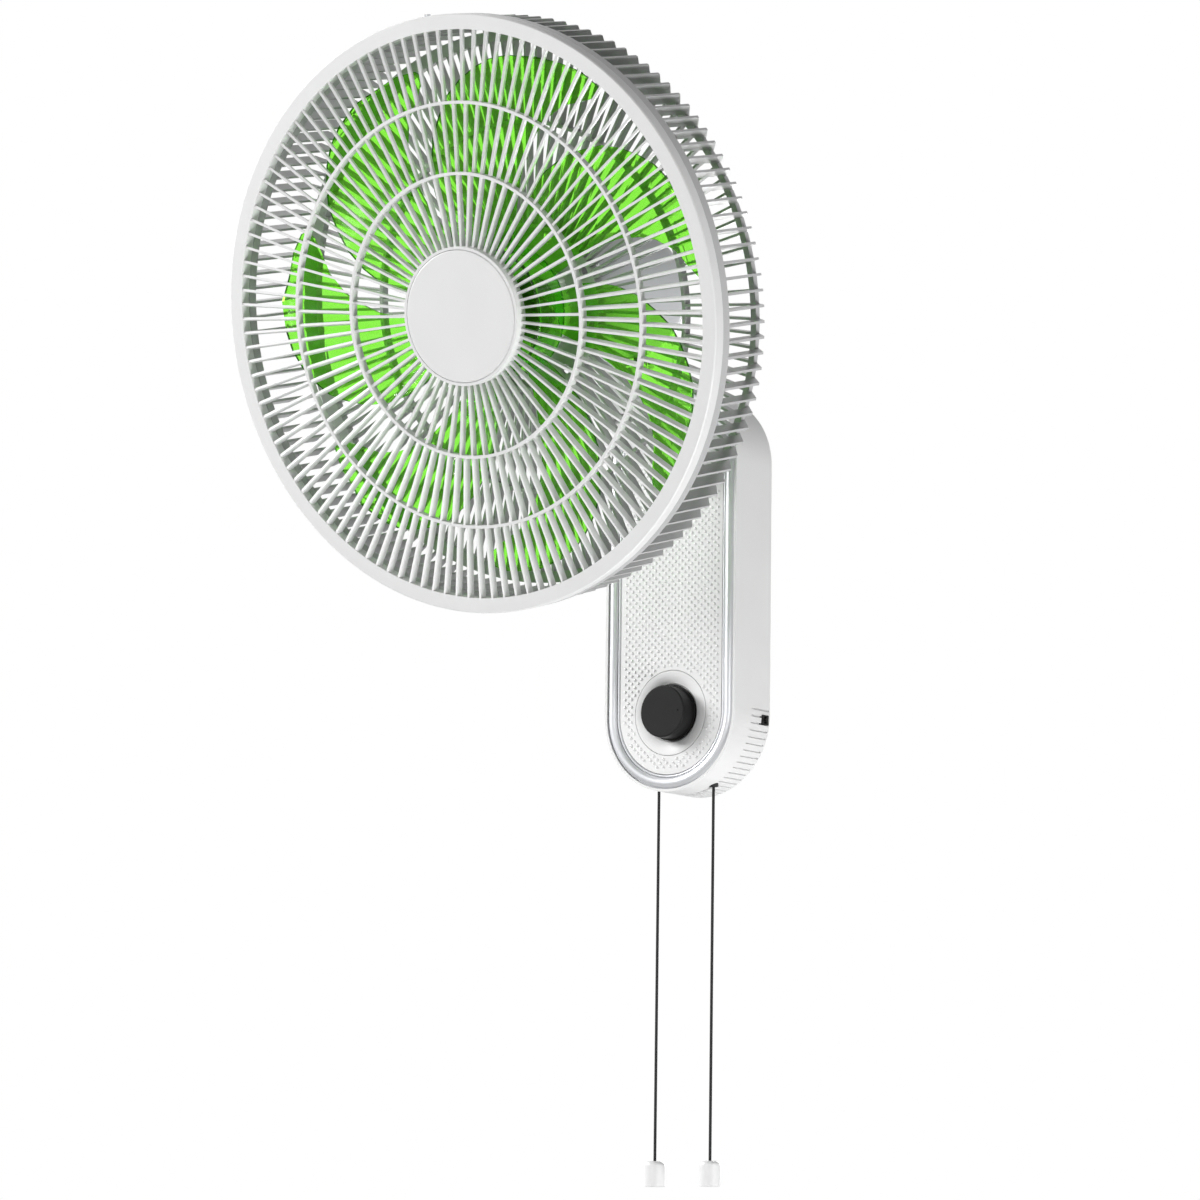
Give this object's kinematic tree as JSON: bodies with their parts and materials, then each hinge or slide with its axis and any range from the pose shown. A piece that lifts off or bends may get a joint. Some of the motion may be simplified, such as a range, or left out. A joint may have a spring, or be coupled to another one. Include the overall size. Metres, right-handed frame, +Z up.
{
  "type": "wall mounted fan",
  "caption": "Wall fan: a caged, tilting and swinging head with translucent blades on a slim upright box with a speed knob and two pull cords.",
  "frame": {"origin": "middle of the wall plate's back face, on the wall's surface", "axes": "+X to the right seen from the room, +Y into the wall, +Z up"},
  "size_m": [0.43, 0.3662, 0.8337],
  "materials": {
    "steel": "satin",
    "white_shell": "satin",
    "white_panel": "matte",
    "silver_trim": "satin",
    "black_plastic": "satin",
    "switch_body": "matte",
    "cream_plastic": "matte",
    "black_rubber": "matte",
    "black_cord": "matte",
    "sintered_bronze": "matte",
    "motor_grey": "satin",
    "motor_dark": "matte",
    "lamination": "matte",
    "copper_wire": "satin",
    "cast_bracket": "matte",
    "zinc_case": "satin",
    "white_nylon": "matte",
    "grey_guard": "satin",
    "white_guard": "satin",
    "green_blade": "gloss"
  },
  "bodies": {
    "base": {"wall_plate": "steel", "back_cover": "white_shell", "housing": "white_shell", "bezel": "silver_trim", "front_panel": "white_panel", "knob_dish": "white_shell", "rotary_switch": "switch_body", "switch_nut": "steel", "support_arm": "white_shell", "arm_screws": "steel", "cover_screws": "steel", "terminal_block": "cream_plastic", "run_capacitor": "cream_plastic", "pull_switch_left": "switch_body", "pull_switch_right": "switch_body", "cord_eyelets": "black_rubber", "mode_switch": "black_plastic", "mains_grommet": "black_rubber", "tilt_bolt": "steel", "tilt_nut": "steel"},
    "knob": {"knob": "black_plastic", "switch_shaft": "steel"},
    "slider": {"mode_slider": "black_plastic"},
    "left_pull": {"pull_rod_left": "steel", "inner_cord_left": "black_cord", "pull_cord_left": "black_cord", "bell_left": "white_shell"},
    "right_pull": {"pull_rod_right": "steel", "inner_cord_right": "black_cord", "pull_cord_right": "black_cord", "bell_right": "white_shell"},
    "neck": {"neck": "white_shell", "neck_bush": "sintered_bronze", "link_pin": "steel"},
    "link": {"swing_link": "steel"},
    "head": {"motor_front_cover": "motor_dark", "motor_housing": "motor_grey", "housing_screws": "steel", "stator": "lamination", "windings": "copper_wire", "front_bracket": "cast_bracket", "rear_bracket": "cast_bracket", "shaft_bearings": "sintered_bronze", "motor_bolts": "steel", "swing_motor": "zinc_case", "pan_post": "steel", "pan_washer": "white_nylon", "rear_guard": "grey_guard", "guard_nut": "white_guard", "front_guard": "white_guard", "front_cap": "white_guard", "guard_screw": "steel"},
    "crank": {"swing_crank": "black_plastic"},
    "rotor": {"rotor_shaft": "steel", "rotor_core": "lamination", "drive_pin": "steel", "fan_blades": "green_blade", "blade_nut": "white_guard"}
  },
  "joints": [
    {"name": "knob_turn", "type": "hinge", "parent": "base", "child": "knob", "pos_m": [0, -0.05, -0.095], "axis": [0, 1, 0], "range_deg": [-135, 135]},
    {"name": "mode_slide", "type": "slide", "parent": "base", "child": "slider", "axis": [0, 0, 1], "range_m": [-0.0015, 0.0015]},
    {"name": "left_cord_pull", "type": "slide", "parent": "base", "child": "left_pull", "axis": [0, 0, -1], "range_m": [0, 0.012], "stiffness_N_per_m": 250, "springref_m": -0.01},
    {"name": "right_cord_pull", "type": "slide", "parent": "base", "child": "right_pull", "axis": [0, 0, -1], "range_m": [0, 0.012], "stiffness_N_per_m": 250, "springref_m": -0.01},
    {"name": "head_tilt", "type": "hinge", "parent": "base", "child": "neck", "pos_m": [0, -0.117, 0.134], "axis": [1, 0, 0], "range_deg": [-15, 15]},
    {"name": "head_pan", "type": "hinge", "parent": "neck", "child": "head", "pos_m": [0, -0.12192, 0.15235], "axis": [0, -0.2588, 0.9659], "range_deg": [-38, 38]},
    {"name": "link_swing", "type": "hinge", "parent": "neck", "child": "link", "pos_m": [0.014, -0.12244, 0.15428], "axis": [0, -0.2588, 0.9659], "range_deg": [-36, 36]},
    {"name": "crank_spin", "type": "hinge", "parent": "head", "child": "crank", "pos_m": [0.006, -0.10177, 0.16603], "axis": [0, -0.2588, 0.9659], "continuous": true},
    {"name": "blade_spin", "type": "hinge", "parent": "head", "child": "rotor", "pos_m": [0, -0.27216, 0.17214], "axis": [0, 0.9659, 0.2588], "continuous": true}
  ],
  "couplings": [
    {"joint": "link_swing", "follows": "head_pan", "ratio": 0.9}
  ]
}
